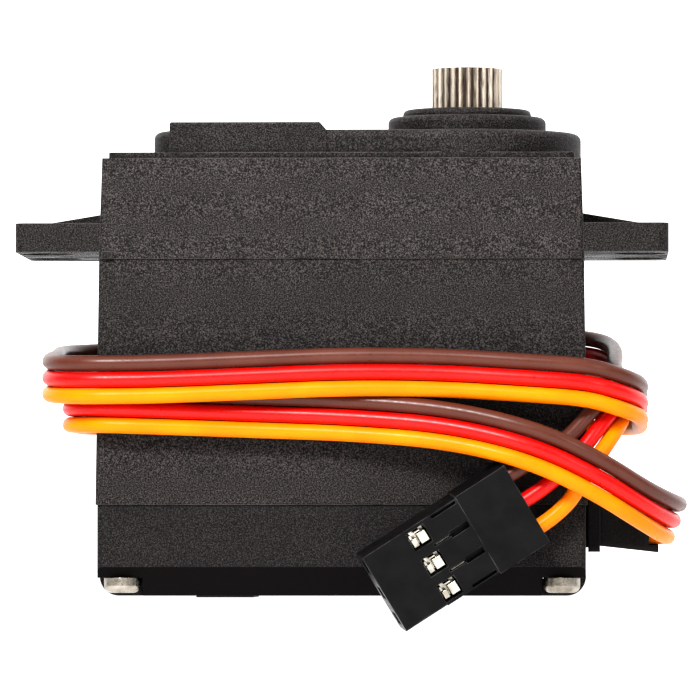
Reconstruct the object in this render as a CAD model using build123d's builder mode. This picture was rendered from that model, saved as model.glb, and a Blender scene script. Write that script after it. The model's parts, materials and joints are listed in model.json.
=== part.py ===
from build123d import *
import math
import os

# Servo motor of the 40 mm class with a metal gear train and a three-wire lead.
# Millimetres. X runs along the case, Y across it, Z up the output shaft.
# The origin is the middle of the ear hole pattern, on the underside of the ears.

# ---- driving dimensions ----
BOTTOM_Z = -28.6
COVER_SEAM_Z = -21.05
CASE_SEAM_Z = -0.6
WALL_TOP_Z = 7.8
LIP_TOP_Z = 8.3
DOME_TOP_Z = 10.25
PANEL_TOP_Z = 10.85
RING_TOP_Z = 11.65
COLLAR_TOP_Z = 12.3
SPLINE_TOP_Z = 15.8
COVER_HALF = (20.3, 10.1)
COVER_BEVEL = 2.4
MIDDLE_HALF = (20.45, 10.25)
UPPER_HALF = (20.2, 10.1)
DRAFT_MIDDLE = 0.8
DRAFT_UPPER = 1.9
WALL = 1.3
CORNER_RADIUS = 0.45

EAR_HALF_LENGTH = 27.2
EAR_DEPTH = 19.6
EAR_THICKNESS = 2.4
EAR_HOLE_RADIUS = 2.2
EAR_HOLE_SPACING = (49.5, 10.0)

OUTPUT_X = 10.3
MOTOR_X = -7.7
CENTRE_PIN_X = -0.5
SIDE_PIN_X = -10.3
PIN_RADIUS = 0.75
RUNNING_GAP = 0.04
DOME_RADIUS = 9.6
PLATEAU_X = (-15.9, 12.0)
PLATEAU_HALF = 8.85
PLATEAU_CORNER = 5.0
PANEL_X = (-14.35, -1.35)
PANEL_HALF = 9.0

SCREW_SPACING = (36.6, 16.4)
POST_XY = (17.85, 7.85)
SCREW_RADIUS = 0.95
SCREW_HEAD_RADIUS = 1.52
SCREW_HEAD_HEIGHT = 1.25

PRESSURE_ANGLE = math.radians(25)
BACKLASH = 0.08

BEARING_RADIUS = 5.0
SHAFT_RADIUS = 3.0
INNER_RACE_RADIUS = 3.6
OUTER_RACE_RADIUS = 4.4
BUSH_RADIUS = 3.0
TAIL_RADIUS = 2.0
BUSH_BOTTOM_Z = -3.2
BEARING_Z = (7.6, 10.6)
SEAL_Z = (10.65, 11.55)

WIRE_RADIUS = 0.66
WIRE_PITCH = 1.36
CONTACT_PITCH = 2.54
RELIEF_TIP_X = 26.4
LEAD_EXIT_X = 24.85
LEAD_Z = -22.3
RELIEF_Z = (-24.6, -20.0)
FLANGE_Z = (-24.95, -19.65)
CONNECTOR_CENTRE = (9.295, -13.6, -24.555)
CONNECTOR_ALONG = (0.8325, 0.1325, 0.5382)
CONNECTOR_OUT = (0.254, -0.954, -0.158)
CONNECTOR_SIZE = (14.0, 7.6, 2.6)

os.makedirs("parts", exist_ok=True)


def save(name, builder):
    """Label a finished piece and write it to its own STEP file."""
    builder.part.label = name
    export_step(builder.part, f"parts/{name}.step")


def tooth_outline(teeth, module, turn=0.0, tip=0.8, root=1.05):
    """Points around an involute gear, with one tooth centred on the angle `turn`."""
    pitch_radius = teeth * module / 2
    base_radius = pitch_radius * math.cos(PRESSURE_ANGLE)
    tip_radius = pitch_radius + tip * module
    root_radius = pitch_radius - root * module
    half_pitch_angle = (math.pi * module / 2 - BACKLASH / 2) / (2 * pitch_radius)
    at_pitch = math.tan(PRESSURE_ANGLE) - PRESSURE_ANGLE
    start = max(base_radius, root_radius)
    flank = []
    if base_radius > root_radius:
        flank.append((root_radius, half_pitch_angle + at_pitch))
    for step in range(4):
        radius = start + (tip_radius - start) * step / 3
        angle = math.acos(min(1.0, base_radius / radius))
        flank.append((radius, half_pitch_angle + at_pitch - (math.tan(angle) - angle)))
    points = []
    for tooth in range(teeth):
        middle = turn + 2 * math.pi * tooth / teeth
        side = [(radius, middle - half) for radius, half in flank]
        side += [(radius, middle + half) for radius, half in reversed(flank)]
        points += [(r * math.cos(a), r * math.sin(a)) for r, a in side]
    return points


def toothed(centre_x, bottom, top, teeth, module, turn=0.0):
    """Extrude a gear's teeth into the part being built."""
    with BuildSketch(Plane.XY.offset(bottom)) as teeth_plan:
        with Locations((centre_x, 0)):
            Polygon(*tooth_outline(teeth, module, turn), align=None)
    extrude(teeth_plan.sketch, amount=top - bottom)


def disc(centre, radius, bottom, top, mode=Mode.ADD):
    """Extrude a round along Z into the part being built."""
    with BuildSketch(Plane.XY.offset(bottom)) as round_plan:
        with Locations(centre):
            Circle(radius)
    extrude(round_plan.sketch, amount=top - bottom, mode=mode)


def block(half, bottom, top, radius=0.0, taper=0.0, mode=Mode.ADD, centre=(0, 0)):
    """Extrude a rectangle, with rounded corners if a radius is given."""
    with BuildSketch(Plane.XY.offset(bottom)) as box_plan:
        with Locations(centre):
            if radius:
                RectangleRounded(2 * half[0], 2 * half[1], radius)
            else:
                Rectangle(2 * half[0], 2 * half[1])
    extrude(box_plan.sketch, amount=top - bottom, taper=taper, mode=mode)


def gear_dome(shrink, bottom, top, mode=Mode.ADD):
    """The dome over the output gear and the plateau beside it, brought in by `shrink` all round."""
    left, right = PLATEAU_X[0] + shrink, PLATEAU_X[1]
    with BuildSketch(Plane.XY.offset(bottom)) as dome_plan:
        with Locations((OUTPUT_X, 0)):
            Circle(DOME_RADIUS - shrink)
        with Locations(((left + right) / 2, 0)):
            RectangleRounded(right - left, 2 * (PLATEAU_HALF - shrink), PLATEAU_CORNER - shrink)
    extrude(dome_plan.sketch, amount=top - bottom, mode=mode)


# ---- upper case, with the ears and the gear dome ----
INNER_HALF = (UPPER_HALF[0] - WALL - 0.1, UPPER_HALF[1] - WALL - 0.1)
CEILING_Z = DOME_TOP_Z - WALL
LOW_CEILING_Z = 7.15
LIP_HALF = (19.4, 9.4)
RING_RADIUS = 6.65
COLLAR_RADIUS = 5.4
POST_HALF = 1.5
LUG_HALF = (0.45, 0.35)
RIB_THICKNESS = 1.6
RIB_INNER = (20.0, 3.6)
RIB_OUTER = (26.9, 2.45)


def top_edges(builder, height):
    """The edges of the part being built that lie at one height."""
    return builder.edges().filter_by_position(Axis.Z, height - 0.01, height + 0.01)


with BuildPart() as upper_case:
    block(UPPER_HALF, CASE_SEAM_Z, WALL_TOP_Z, CORNER_RADIUS, DRAFT_UPPER)
    block(LIP_HALF, WALL_TOP_Z, LIP_TOP_Z, 0.6)
    gear_dome(0, 2.6, DOME_TOP_Z)
    fillet(top_edges(upper_case, DOME_TOP_Z), 0.6)
    # raised panel over the motor, sloped at its inner end
    with BuildSketch(Plane.XZ.offset(-PANEL_HALF)):
        with BuildLine():
            Polyline(
                (PANEL_X[0], WALL_TOP_Z),
                (PANEL_X[0], PANEL_TOP_Z),
                (PANEL_X[1] - 0.5, PANEL_TOP_Z),
                (PANEL_X[1], DOME_TOP_Z + 0.05),
                (PANEL_X[1], WALL_TOP_Z),
                close=True,
            )
        make_face()
    extrude(amount=2 * PANEL_HALF)
    fillet(top_edges(upper_case, PANEL_TOP_Z), 0.18)
    disc((OUTPUT_X, 0), RING_RADIUS, DOME_TOP_Z - 0.3, RING_TOP_Z)
    fillet(top_edges(upper_case, RING_TOP_Z), 0.5)
    disc((OUTPUT_X, 0), COLLAR_RADIUS, RING_TOP_Z - 0.3, COLLAR_TOP_Z)
    fillet(top_edges(upper_case, COLLAR_TOP_Z), 0.4)
    # ears, with a rib from each to the end wall
    block((EAR_HALF_LENGTH, EAR_DEPTH / 2), 0, EAR_THICKNESS, 1.0)
    for side in (1, -1):
        with BuildSketch(Plane.XZ.offset(-RIB_THICKNESS / 2)):
            with BuildLine():
                Polyline(
                    (side * (RIB_INNER[0] - 1.0), EAR_THICKNESS - 0.2),
                    (side * RIB_OUTER[0], EAR_THICKNESS - 0.2),
                    (side * RIB_OUTER[0], RIB_OUTER[1]),
                    (side * RIB_INNER[0], RIB_INNER[1]),
                    (side * (RIB_INNER[0] - 1.0), RIB_INNER[1]),
                    close=True,
                )
            make_face()
        extrude(amount=RIB_THICKNESS)
        # small moulded lugs under the ears at the front and back corners
        for depth in (1, -1):
            block(LUG_HALF, CASE_SEAM_Z, 0, centre=(side * 19.5, depth * 10.0))
    # gear room, open below
    block(INNER_HALF, CASE_SEAM_Z, LOW_CEILING_Z, 0.6, mode=Mode.SUBTRACT)
    gear_dome(WALL, CASE_SEAM_Z, CEILING_Z, mode=Mode.SUBTRACT)
    # corner posts that take the case screws
    for x_side in (1, -1):
        for y_side in (1, -1):
            post_centre = (x_side * SCREW_SPACING[0] / 2, y_side * SCREW_SPACING[1] / 2)
            block((POST_HALF, POST_HALF), CASE_SEAM_Z, LOW_CEILING_Z, centre=post_centre)
    # sockets for the tops of the gear pins, and the bearing seat
    disc((CENTRE_PIN_X, 0), 1.7, 7.45, CEILING_Z + 0.2)
    disc((SIDE_PIN_X, 0), 1.7, 4.05, CEILING_Z + 0.2)
    disc((OUTPUT_X, 0), BEARING_RADIUS + 1.3, BEARING_Z[0], CEILING_Z + 0.2)
    disc((OUTPUT_X, 0), BEARING_RADIUS, BEARING_Z[0] - 0.5, BEARING_Z[1], mode=Mode.SUBTRACT)
    disc((OUTPUT_X, 0), OUTER_RACE_RADIUS, BEARING_Z[1], SEAL_Z[1], mode=Mode.SUBTRACT)
    disc((OUTPUT_X, 0), 3.25, SEAL_Z[1] - 0.1, COLLAR_TOP_Z + 0.1, mode=Mode.SUBTRACT)
    disc((CENTRE_PIN_X, 0), PIN_RADIUS, 7.0, 8.9, mode=Mode.SUBTRACT)
    disc((SIDE_PIN_X, 0), PIN_RADIUS, 3.5, 7.0, mode=Mode.SUBTRACT)
    with BuildSketch(Plane.XY.offset(CASE_SEAM_Z)):
        with GridLocations(SCREW_SPACING[0], SCREW_SPACING[1], 2, 2):
            Circle(SCREW_RADIUS)
    extrude(amount=6.4, mode=Mode.SUBTRACT)
    with BuildSketch(Plane.XY):
        with GridLocations(EAR_HOLE_SPACING[0], EAR_HOLE_SPACING[1], 2, 2):
            Circle(EAR_HOLE_RADIUS)
    extrude(amount=EAR_THICKNESS, mode=Mode.SUBTRACT)
save("upper_case", upper_case)

# ---- middle case: walls, and the deck that carries the gears and the motor ----
DECK_Z = -2.2
MIDDLE_INNER = (18.9, 8.75)
MOTOR_SCREW_Y = 4.6
MOTOR_BOSS_RADIUS = 1.7

with BuildPart() as middle_case:
    block(MIDDLE_HALF, COVER_SEAM_Z, CASE_SEAM_Z, CORNER_RADIUS, DRAFT_MIDDLE)
    block(MIDDLE_INNER, COVER_SEAM_Z, DECK_Z, 0.5, mode=Mode.SUBTRACT)
    for x_side in (1, -1):
        for y_side in (1, -1):
            block(
                (1.75, 1.55),
                COVER_SEAM_Z,
                DECK_Z,
                centre=(x_side * POST_XY[0], y_side * POST_XY[1]),
            )
    with BuildSketch(Plane.XY.offset(COVER_SEAM_Z)):
        with GridLocations(SCREW_SPACING[0], SCREW_SPACING[1], 2, 2):
            Circle(SCREW_RADIUS + 0.1)
    extrude(amount=CASE_SEAM_Z - COVER_SEAM_Z, mode=Mode.SUBTRACT)
    # wall between the motor bay and the potentiometer bay
    block((0.5, 8.8), -14.0, DECK_Z, centre=(2.2, 0))
    # bush boss under the output shaft
    disc((OUTPUT_X, 0), BUSH_RADIUS + 1.0, BUSH_BOTTOM_Z, DECK_Z)
    disc((OUTPUT_X, 0), BUSH_RADIUS, BUSH_BOTTOM_Z, CASE_SEAM_Z, mode=Mode.SUBTRACT)
    # motor nose, motor screws and gear pins
    disc((MOTOR_X, 0), MOTOR_BOSS_RADIUS, DECK_Z, CASE_SEAM_Z, mode=Mode.SUBTRACT)
    disc((CENTRE_PIN_X, 0), PIN_RADIUS, DECK_Z + 0.3, CASE_SEAM_Z, mode=Mode.SUBTRACT)
    for y_side in (1, -1):
        disc((MOTOR_X, y_side * MOTOR_SCREW_Y), 1.0, DECK_Z, CASE_SEAM_Z, mode=Mode.SUBTRACT)
        disc((MOTOR_X, y_side * MOTOR_SCREW_Y), 1.9, -1.5, CASE_SEAM_Z, mode=Mode.SUBTRACT)
    disc((SIDE_PIN_X, 0), PIN_RADIUS, DECK_Z + 0.3, CASE_SEAM_Z, mode=Mode.SUBTRACT)
    # notch in the end wall for the top of the strain relief
    block((1.3, 2.85), COVER_SEAM_Z, RELIEF_Z[1], centre=(MIDDLE_HALF[0] - 0.7, 0), mode=Mode.SUBTRACT)
save("middle_case", middle_case)

# ---- bottom cover ----
with BuildPart() as bottom_cover:
    block(COVER_HALF, BOTTOM_Z, COVER_SEAM_Z, CORNER_RADIUS)
    # bevels along the front and back, rounded lower corners at the ends
    with BuildSketch(Plane.YZ.offset(-COVER_HALF[0])):
        with BuildLine():
            Polyline(
                (-COVER_HALF[1], COVER_SEAM_Z),
                (-COVER_HALF[1], BOTTOM_Z + COVER_BEVEL),
                (-COVER_HALF[1] + COVER_BEVEL, BOTTOM_Z),
                (COVER_HALF[1] - COVER_BEVEL, BOTTOM_Z),
                (COVER_HALF[1], BOTTOM_Z + COVER_BEVEL),
                (COVER_HALF[1], COVER_SEAM_Z),
                close=True,
            )
        make_face()
    extrude(amount=2 * COVER_HALF[0], mode=Mode.INTERSECT)
    with BuildSketch(Plane.XZ.offset(-COVER_HALF[1])):
        with BuildLine():
            FilletPolyline(
                (-COVER_HALF[0], COVER_SEAM_Z),
                (-COVER_HALF[0], BOTTOM_Z),
                (COVER_HALF[0], BOTTOM_Z),
                (COVER_HALF[0], COVER_SEAM_Z),
                radius=1.6,
            )
            Line((-COVER_HALF[0], COVER_SEAM_Z), (COVER_HALF[0], COVER_SEAM_Z))
        make_face()
    extrude(amount=2 * COVER_HALF[1], mode=Mode.INTERSECT)
    block((18.9, 8.7), BOTTOM_Z + 2.6, COVER_SEAM_Z, 0.5, mode=Mode.SUBTRACT)
    block((17.5, 7.0), BOTTOM_Z + 1.4, BOTTOM_Z + 2.7, mode=Mode.SUBTRACT)
    for x_side in (1, -1):
        for y_side in (1, -1):
            post = (x_side * POST_XY[0], y_side * POST_XY[1])
            notch = (x_side * 19.2, y_side * 9.0)
            block((1.75, 1.65), BOTTOM_Z + 2.0, COVER_SEAM_Z, centre=post)
            block((2.6, 2.6), BOTTOM_Z - 0.1, BOTTOM_Z + 1.5, centre=notch, mode=Mode.SUBTRACT)
    with BuildSketch(Plane.XY.offset(BOTTOM_Z)):
        with GridLocations(SCREW_SPACING[0], SCREW_SPACING[1], 2, 2):
            Circle(SCREW_RADIUS + 0.1)
    extrude(amount=COVER_SEAM_Z - BOTTOM_Z, mode=Mode.SUBTRACT)
    # raised patch on the floor
    block((2.4, 5.0), BOTTOM_Z - 0.15, BOTTOM_Z, centre=(-9.9, 0))
    # notch in the end wall for the strain relief
    block((1.2, 2.85), RELIEF_Z[0], COVER_SEAM_Z, centre=(COVER_HALF[0] - 0.7, 0), mode=Mode.SUBTRACT)
save("bottom_cover", bottom_cover)

# ---- four case screws ----
SCREW_HEAD_Z = BOTTOM_Z + 1.5
SCREW_TIP_Z = 5.6
with BuildPart() as case_screws:
    with BuildSketch(Plane.XY.offset(SCREW_HEAD_Z - SCREW_HEAD_HEIGHT)):
        with GridLocations(SCREW_SPACING[0], SCREW_SPACING[1], 2, 2):
            Circle(SCREW_HEAD_RADIUS)
    extrude(amount=SCREW_HEAD_HEIGHT)
    fillet(case_screws.edges().group_by(Axis.Z)[0], 0.6)
    with BuildSketch(Plane.XY.offset(SCREW_HEAD_Z)):
        with GridLocations(SCREW_SPACING[0], SCREW_SPACING[1], 2, 2):
            Circle(SCREW_RADIUS)
    extrude(amount=SCREW_TIP_Z - SCREW_HEAD_Z)
    with BuildSketch(Plane.XY.offset(SCREW_HEAD_Z - SCREW_HEAD_HEIGHT)):
        with GridLocations(SCREW_SPACING[0], SCREW_SPACING[1], 2, 2):
            Rectangle(1.9, 0.42)
            Rectangle(0.42, 1.9)
    extrude(amount=0.7, mode=Mode.SUBTRACT)
save("case_screws", case_screws)

# ---- gear train ----
# Tooth counts: 10:38, 10:39, 10:39, 10:26. Levels run up from the deck.
LEVEL_1 = (-0.3, 0.8)
LEVEL_2 = (1.0, 2.1)
LEVEL_3 = (2.4, 3.6)
LEVEL_4 = (4.3, 7.0)
FIRST_TOP_Z = 2.25
SECOND_TOP_Z = 3.9
THIRD_TOP_Z = 7.3
FINE = 0.3
MEDIUM = 0.4
COARSE = 0.6

with BuildPart() as motor_pinion:
    toothed(MOTOR_X, LEVEL_1[0] - 0.05, LEVEL_1[1] + 0.1, 10, FINE)
    disc((MOTOR_X, 0), 0.8, LEVEL_1[0] - 0.05, LEVEL_1[1] + 0.1, mode=Mode.SUBTRACT)
save("motor_pinion", motor_pinion)

with BuildPart() as first_gear:
    toothed(CENTRE_PIN_X, LEVEL_1[0], LEVEL_1[1], 38, FINE, math.pi + math.pi / 38)
    toothed(CENTRE_PIN_X, LEVEL_1[1], FIRST_TOP_Z, 10, MEDIUM)
    disc((CENTRE_PIN_X, 0), PIN_RADIUS + RUNNING_GAP, LEVEL_1[0], FIRST_TOP_Z, mode=Mode.SUBTRACT)
save("first_gear", first_gear)

with BuildPart() as second_gear:
    toothed(SIDE_PIN_X, LEVEL_2[0], LEVEL_2[1], 39, MEDIUM, math.pi / 39)
    toothed(SIDE_PIN_X, LEVEL_2[1], SECOND_TOP_Z, 10, MEDIUM)
    disc((SIDE_PIN_X, 0), PIN_RADIUS + RUNNING_GAP, LEVEL_2[0], SECOND_TOP_Z, mode=Mode.SUBTRACT)
save("second_gear", second_gear)

with BuildPart() as third_gear:
    toothed(CENTRE_PIN_X, LEVEL_3[0], LEVEL_3[1], 39, MEDIUM, math.pi + math.pi / 39)
    toothed(CENTRE_PIN_X, LEVEL_3[1], THIRD_TOP_Z, 10, COARSE)
    disc((CENTRE_PIN_X, 0), PIN_RADIUS + RUNNING_GAP, LEVEL_3[0], THIRD_TOP_Z, mode=Mode.SUBTRACT)
save("third_gear", third_gear)

SPLINE_TEETH = 25
SPLINE_TIP_RADIUS = 2.95
SPLINE_ROOT_RADIUS = 2.68


def spline_outline():
    """Points around the output shaft's fine triangular teeth."""
    points = []
    for tooth in range(SPLINE_TEETH):
        middle = 2 * math.pi * tooth / SPLINE_TEETH
        step = math.pi / SPLINE_TEETH
        for radius, angle in (
            (SPLINE_ROOT_RADIUS, middle - step * 0.92),
            (SPLINE_TIP_RADIUS, middle - step * 0.18),
            (SPLINE_TIP_RADIUS, middle + step * 0.18),
            (SPLINE_ROOT_RADIUS, middle + step * 0.92),
        ):
            points.append((radius * math.cos(angle), radius * math.sin(angle)))
    return points


HORN_SCREW_RADIUS = 1.25
with BuildPart() as output_gear:
    toothed(OUTPUT_X, LEVEL_4[0], LEVEL_4[1], 26, COARSE, math.pi + math.pi / 26)
    disc((OUTPUT_X, 0), TAIL_RADIUS, BUSH_BOTTOM_Z, LEVEL_4[0])
    disc((OUTPUT_X, 0), INNER_RACE_RADIUS, LEVEL_4[1], BEARING_Z[0])
    disc((OUTPUT_X, 0), SHAFT_RADIUS, BEARING_Z[0], COLLAR_TOP_Z + 0.1)
    with BuildSketch(Plane.XY.offset(COLLAR_TOP_Z + 0.1)):
        with Locations((OUTPUT_X, 0)):
            Polygon(*spline_outline(), align=None)
    extrude(amount=SPLINE_TOP_Z - COLLAR_TOP_Z - 0.1)
    # flat tang that turns the potentiometer
    block((1.4, 0.45), BUSH_BOTTOM_Z - 2.0, BUSH_BOTTOM_Z, centre=(OUTPUT_X, 0))
    disc((OUTPUT_X, 0), HORN_SCREW_RADIUS, SPLINE_TOP_Z - 7.0, SPLINE_TOP_Z, mode=Mode.SUBTRACT)
save("output_gear", output_gear)

with BuildPart() as centre_pin:
    disc((CENTRE_PIN_X, 0), PIN_RADIUS, DECK_Z + 0.3, 8.9)
    chamfer(centre_pin.edges().group_by(Axis.Z)[-1], 0.2)
save("centre_pin", centre_pin)

with BuildPart() as side_pin:
    disc((SIDE_PIN_X, 0), PIN_RADIUS, DECK_Z + 0.3, 6.9)
    chamfer(side_pin.edges().group_by(Axis.Z)[-1], 0.2)
save("side_pin", side_pin)

# ---- output bearing, seal and bush ----
BALL_RADIUS = 0.56
GROOVE_RADIUS = 0.6
BALL_CIRCLE = 4.0
BEARING_MIDDLE_Z = (BEARING_Z[0] + BEARING_Z[1]) / 2


def race(inner, outer):
    """A bearing ring with its ball groove, as a turned profile."""
    with BuildSketch(Plane.XZ) as ring_profile:
        with Locations((OUTPUT_X + (inner + outer) / 2, BEARING_MIDDLE_Z)):
            Rectangle(outer - inner, BEARING_Z[1] - BEARING_Z[0])
        with Locations((OUTPUT_X + BALL_CIRCLE, BEARING_MIDDLE_Z)):
            Circle(GROOVE_RADIUS, mode=Mode.SUBTRACT)
    revolve(ring_profile.sketch, axis=Axis((OUTPUT_X, 0, 0), (0, 0, 1)))


with BuildPart() as bearing_outer_ring:
    race(OUTER_RACE_RADIUS, BEARING_RADIUS)
save("bearing_outer_ring", bearing_outer_ring)

with BuildPart() as bearing_inner_ring:
    race(SHAFT_RADIUS, INNER_RACE_RADIUS)
save("bearing_inner_ring", bearing_inner_ring)

with BuildPart() as bearing_balls:
    with Locations(Plane((OUTPUT_X, 0, BEARING_MIDDLE_Z))):
        with PolarLocations(BALL_CIRCLE, 9):
            Sphere(BALL_RADIUS)
save("bearing_balls", bearing_balls)

with BuildPart() as output_seal:
    disc((OUTPUT_X, 0), OUTER_RACE_RADIUS, SEAL_Z[0], SEAL_Z[1] - 0.1)
    disc((OUTPUT_X, 0), SHAFT_RADIUS + 0.05, SEAL_Z[0], SEAL_Z[1], mode=Mode.SUBTRACT)
save("output_seal", output_seal)

with BuildPart() as output_bush:
    disc((OUTPUT_X, 0), BUSH_RADIUS, BUSH_BOTTOM_Z, CASE_SEAM_Z + 0.2)
    disc((OUTPUT_X, 0), TAIL_RADIUS + RUNNING_GAP, BUSH_BOTTOM_Z, CASE_SEAM_Z + 0.2, mode=Mode.SUBTRACT)
save("output_bush", output_bush)

# ---- motor ----
CAN_RADIUS = 8.0
CAN_INNER_RADIUS = CAN_RADIUS - 0.6
CAN_Z = (-19.2, DECK_Z)
CAN_LID_Z = DECK_Z - 0.9
MOTOR_BOSS_TOP_Z = DECK_Z + 1.1
MAGNET_Z = (-16.0, -4.0)
ROTOR_Z = (-14.6, -5.0)
COMMUTATOR_BOTTOM_Z = -17.4
MOTOR_TAIL_Z = -20.6
MOTOR_SHAFT_RADIUS = 0.8
MOTOR_BUSH_RADIUS = 1.3

with BuildPart() as motor_can:
    disc((MOTOR_X, 0), CAN_RADIUS, CAN_Z[0], CAN_Z[1])
    fillet(motor_can.edges().group_by(Axis.Z)[-1], 0.7)
    disc((MOTOR_X, 0), MOTOR_BOSS_RADIUS - 0.05, CAN_Z[1], MOTOR_BOSS_TOP_Z)
    disc((MOTOR_X, 0), CAN_INNER_RADIUS, CAN_Z[0], CAN_LID_Z, mode=Mode.SUBTRACT)
    disc((MOTOR_X, 0), MOTOR_BUSH_RADIUS, CAN_LID_Z, MOTOR_BOSS_TOP_Z, mode=Mode.SUBTRACT)
    for y_side in (1, -1):
        disc((MOTOR_X, y_side * MOTOR_SCREW_Y), 0.8, CAN_LID_Z, CAN_Z[1], mode=Mode.SUBTRACT)
save("motor_can", motor_can)

with BuildPart() as motor_bushes:
    disc((MOTOR_X, 0), MOTOR_BUSH_RADIUS, CAN_LID_Z, MOTOR_BOSS_TOP_Z)
    disc((MOTOR_X, 0), MOTOR_BUSH_RADIUS, MOTOR_TAIL_Z, -18.9)
    disc((MOTOR_X, 0), MOTOR_SHAFT_RADIUS + 0.03, MOTOR_TAIL_Z, MOTOR_BOSS_TOP_Z, mode=Mode.SUBTRACT)
save("motor_bushes", motor_bushes)

with BuildPart() as motor_magnets:
    disc((MOTOR_X, 0), CAN_INNER_RADIUS, *MAGNET_Z)
    disc((MOTOR_X, 0), 5.9, *MAGNET_Z, mode=Mode.SUBTRACT)
    block((1.6, 8.0), *MAGNET_Z, centre=(MOTOR_X, 0), mode=Mode.SUBTRACT)
save("motor_magnets", motor_magnets)

with BuildPart() as motor_shaft:
    disc((MOTOR_X, 0), MOTOR_SHAFT_RADIUS, -20.5, LEVEL_1[1] + 0.1)
save("motor_shaft", motor_shaft)

with BuildPart() as rotor_core:
    disc((MOTOR_X, 0), 5.6, *ROTOR_Z)
    with BuildSketch(Plane.XY.offset(ROTOR_Z[0])):
        with Locations((MOTOR_X, 0)):
            with PolarLocations(4.3, 5):
                Rectangle(3.4, 1.3)
    extrude(amount=ROTOR_Z[1] - ROTOR_Z[0], mode=Mode.SUBTRACT)
    disc((MOTOR_X, 0), MOTOR_SHAFT_RADIUS, *ROTOR_Z, mode=Mode.SUBTRACT)
save("rotor_core", rotor_core)

with BuildPart() as commutator:
    disc((MOTOR_X, 0), 1.9, COMMUTATOR_BOTTOM_Z, ROTOR_Z[0])
    disc((MOTOR_X, 0), MOTOR_SHAFT_RADIUS, COMMUTATOR_BOTTOM_Z, ROTOR_Z[0], mode=Mode.SUBTRACT)
save("commutator", commutator)

with BuildPart() as motor_end_cap:
    disc((MOTOR_X, 0), CAN_INNER_RADIUS, -19.2, -17.9)
    disc((MOTOR_X, 0), CAN_RADIUS - 0.05, -20.2, -19.2)
    disc((MOTOR_X, 0), 3.0, -20.9, -20.2)
    disc((MOTOR_X, 0), MOTOR_BUSH_RADIUS, MOTOR_TAIL_Z, -17.9, mode=Mode.SUBTRACT)
    with BuildSketch(Plane.XY.offset(-20.2)):
        with Locations((MOTOR_X, 5.0), (MOTOR_X, -5.0)):
            Rectangle(2.0, 0.6)
    extrude(amount=2.3, mode=Mode.SUBTRACT)
save("motor_end_cap", motor_end_cap)

with BuildPart() as motor_terminals:
    for y_side in (1, -1):
        block((1.0, 0.3), -23.4, -17.9, centre=(MOTOR_X, y_side * 5.0))
save("motor_terminals", motor_terminals)

with BuildPart() as motor_brushes:
    for y_side in (1, -1):
        block((0.8, 1.6), -17.2, -16.2, centre=(MOTOR_X, y_side * 3.6))
save("motor_brushes", motor_brushes)

with BuildPart() as motor_screws:
    for y_side in (1, -1):
        disc((MOTOR_X, y_side * MOTOR_SCREW_Y), 0.8, -3.1, -1.5)
        disc((MOTOR_X, y_side * MOTOR_SCREW_Y), 1.6, -1.5, -0.75)
save("motor_screws", motor_screws)

# ---- potentiometer under the output shaft ----
with BuildPart() as pot_body:
    disc((OUTPUT_X, 0), 5.4, -9.6, -5.0)
    disc((OUTPUT_X, 0), 2.4, -5.0, -3.9)
    disc((OUTPUT_X, 0), 1.9, -8.6, -3.9, mode=Mode.SUBTRACT)
    disc((OUTPUT_X, 0), 4.6, -8.6, -7.4, mode=Mode.SUBTRACT)
save("pot_body", pot_body)

with BuildPart() as pot_wiper:
    disc((OUTPUT_X, 0), 4.5, -8.5, -7.5)
    disc((OUTPUT_X, 0), 1.9 - RUNNING_GAP, -7.5, -4.0)
    block((1.42, 0.47), -5.3, -4.0, centre=(OUTPUT_X, 0), mode=Mode.SUBTRACT)
save("pot_wiper", pot_wiper)

with BuildPart() as pot_pins:
    with BuildSketch(Plane.XY.offset(-24.2)):
        with Locations((OUTPUT_X, 0)):
            with GridLocations(2.5, 1, 3, 1):
                Rectangle(0.6, 0.35)
    extrude(amount=14.6)
save("pot_pins", pot_pins)

# ---- control board ----
BOARD_Z = (-24.9, -23.9)
with BuildPart() as control_board:
    block((15.9, 6.8), BOARD_Z[0], BOARD_Z[1], 0.6)
    for y_side in (1, -1):
        block((1.05, 0.35), BOARD_Z[0], BOARD_Z[1], centre=(MOTOR_X, y_side * 5.0), mode=Mode.SUBTRACT)
    with BuildSketch(Plane.XY.offset(BOARD_Z[0])):
        with Locations((OUTPUT_X, 0)):
            with GridLocations(2.5, 1, 3, 1):
                Rectangle(0.7, 0.45)
    extrude(amount=1.0, mode=Mode.SUBTRACT)
save("control_board", control_board)


def chip(centre, half, height, legs):
    """A chip body on the board, with a row of legs along each side."""
    block(half, BOARD_Z[1] + 0.1, BOARD_Z[1] + height, centre=centre)
    with BuildSketch(Plane.XY.offset(BOARD_Z[1])) as leg_plan:
        with Locations(centre):
            with GridLocations(2 * half[0] / legs, 2 * half[1] + 0.5, legs, 2):
                Rectangle(0.3, 0.9)
    extrude(leg_plan.sketch, amount=0.4)


with BuildPart() as controller_chip:
    chip((1.0, 0), (2.6, 2.0), 1.1, 6)
save("controller_chip", controller_chip)

with BuildPart() as drive_chips:
    chip((-13.0, 3.2), (1.9, 1.5), 1.2, 4)
    chip((-13.0, -3.2), (1.9, 1.5), 1.2, 4)
save("drive_chips", drive_chips)

with BuildPart() as board_capacitor:
    block((1.1, 1.6), BOARD_Z[1], BOARD_Z[1] + 1.5, centre=(-2.9, 3.6))
save("board_capacitor", board_capacitor)

# ---- strain relief and the three wires ----
FLANGE_X = (MIDDLE_HALF[0] + 0.03, MIDDLE_HALF[0] + 1.03)
PLUG_X = 18.5
SLEEVE_START = (3.4, -24.45, -20.15)
SLEEVE_END = (2.6, -25.0, -19.85)
POCKET_WIDTH = 1.46
POCKET_HEIGHT = 4.16
POCKET_OPEN_X = 25.6


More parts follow.
